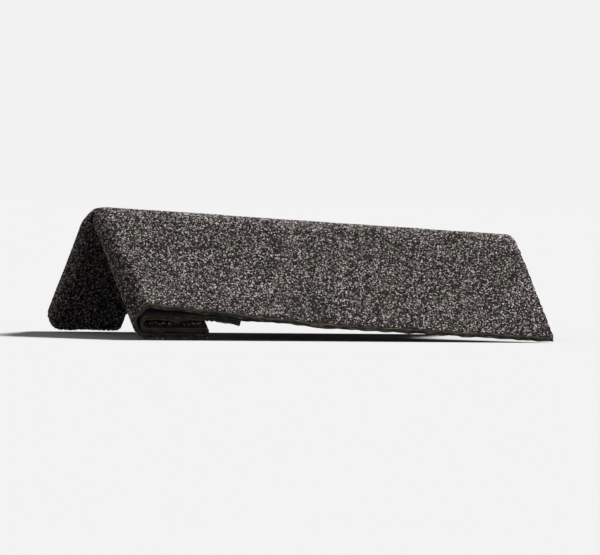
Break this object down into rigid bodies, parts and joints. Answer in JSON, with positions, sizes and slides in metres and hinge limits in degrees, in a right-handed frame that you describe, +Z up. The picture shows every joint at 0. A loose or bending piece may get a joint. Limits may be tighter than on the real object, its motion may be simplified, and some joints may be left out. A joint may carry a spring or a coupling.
{
  "type": "ridge cap shingle",
  "caption": "Bent asphalt ridge cap shingle: a granulated sheet whose front is folded back into a thick raised nose, and which straddles a roof ridge or hip.",
  "frame": {"origin": "middle of the footprint, on the level floor that the cap stands on", "axes": "+X along the ridge from the thick nose to the thin tail, +Z up, +Y across the ridge"},
  "size_m": [0.3304, 0.2036, 0.0942],
  "materials": {
    "granulated_asphalt": "matte"
  },
  "bodies": {
    "root": {"ridge_cap": "granulated_asphalt"}
  },
  "joints": []
}
